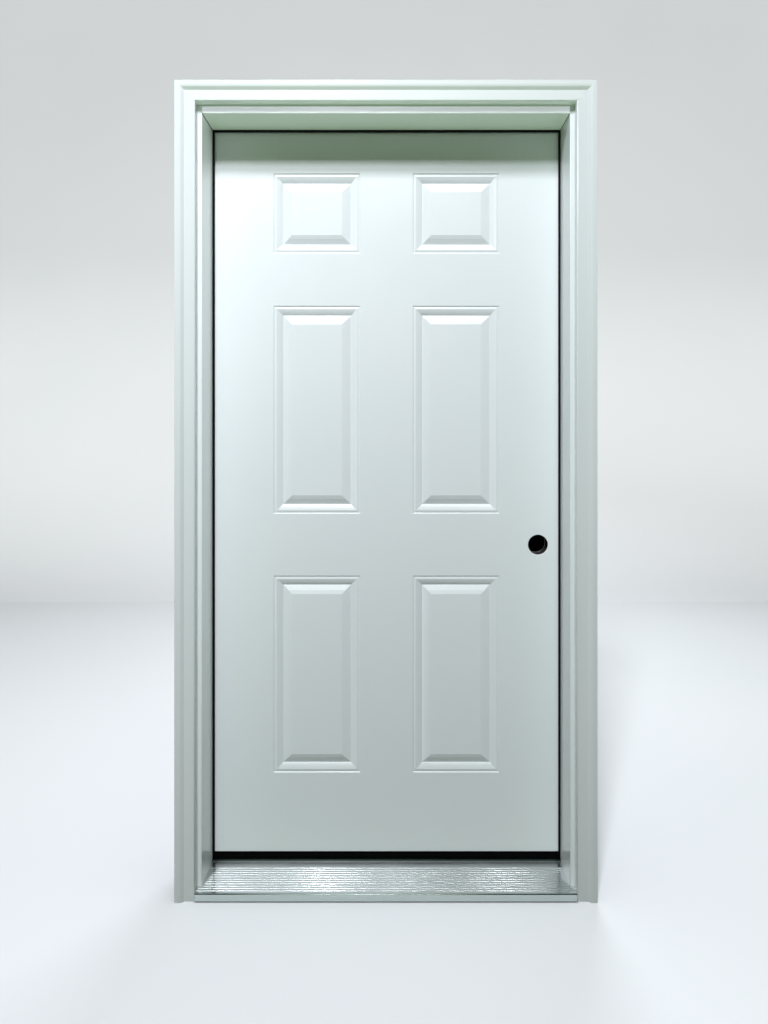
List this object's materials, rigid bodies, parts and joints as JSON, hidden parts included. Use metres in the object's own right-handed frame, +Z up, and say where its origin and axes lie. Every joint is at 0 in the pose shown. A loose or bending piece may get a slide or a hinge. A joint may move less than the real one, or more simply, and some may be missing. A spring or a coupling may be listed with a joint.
{
  "type": "six-panel fibreglass entry door in its frame",
  "caption": "Prehung inswing panelled fibreglass door with white frame and brickmould, ribbed aluminium sill and a lock bore, hung on butt hinges.",
  "frame": {"origin": "bottom centre of the whole unit, hinge barrels included", "axes": "+X across the doorway to the lock side as seen from outdoors, -Y outdoors, +Z up"},
  "size_m": [1.071, 0.213, 2.0835],
  "materials": {
    "fibreglass_skin": "smooth primed fibreglass, satin",
    "frame_paint": "semi-gloss painted jamb and moulding",
    "mill_aluminium": "mill finish, extruded and ribbed",
    "sill_composite": "moulded composite substrate",
    "black_vinyl": "extruded vinyl, satin",
    "seal_foam": "skinned foam seal",
    "edge_timber": "planed softwood and composite rails",
    "core_foam": "rigid foam",
    "hinge_steel": "satin plated steel",
    "zinc_steel": "zinc plated steel"
  },
  "bodies": {
    "frame": {"hinge_jamb": "frame_paint", "strike_jamb": "frame_paint", "head_jamb": "frame_paint", "brickmould_left": "frame_paint", "brickmould_right": "frame_paint", "brickmould_head": "frame_paint", "sill_substrate": "sill_composite", "sill_deck": "mill_aluminium", "sill_cap": "black_vinyl", "weatherstrip_hinge": "seal_foam", "weatherstrip_strike": "seal_foam", "weatherstrip_head": "seal_foam", "corner_pad_hinge": "seal_foam", "corner_pad_strike": "seal_foam", "bottom_hinge_jamb_leaf": "hinge_steel", "middle_hinge_jamb_leaf": "hinge_steel", "top_hinge_jamb_leaf": "hinge_steel", "bottom_hinge_pin": "hinge_steel", "middle_hinge_pin": "hinge_steel", "top_hinge_pin": "hinge_steel"},
    "door": {"exterior_skin": "fibreglass_skin", "interior_skin": "fibreglass_skin", "hinge_stile": "edge_timber", "lock_stile": "edge_timber", "top_rail": "edge_timber", "bottom_rail": "edge_timber", "lock_block": "edge_timber", "foam_core": "core_foam", "door_sweep": "black_vinyl", "bottom_hinge_door_leaf": "hinge_steel", "middle_hinge_door_leaf": "hinge_steel", "top_hinge_door_leaf": "hinge_steel"}
  },
  "joints": [
    {"name": "door_swing", "type": "hinge", "parent": "frame", "child": "door", "pos_m": [-0.4842, 0.09947, 1.03375], "axis": [0, 0, 1], "range_deg": [0, 175]}
  ]
}
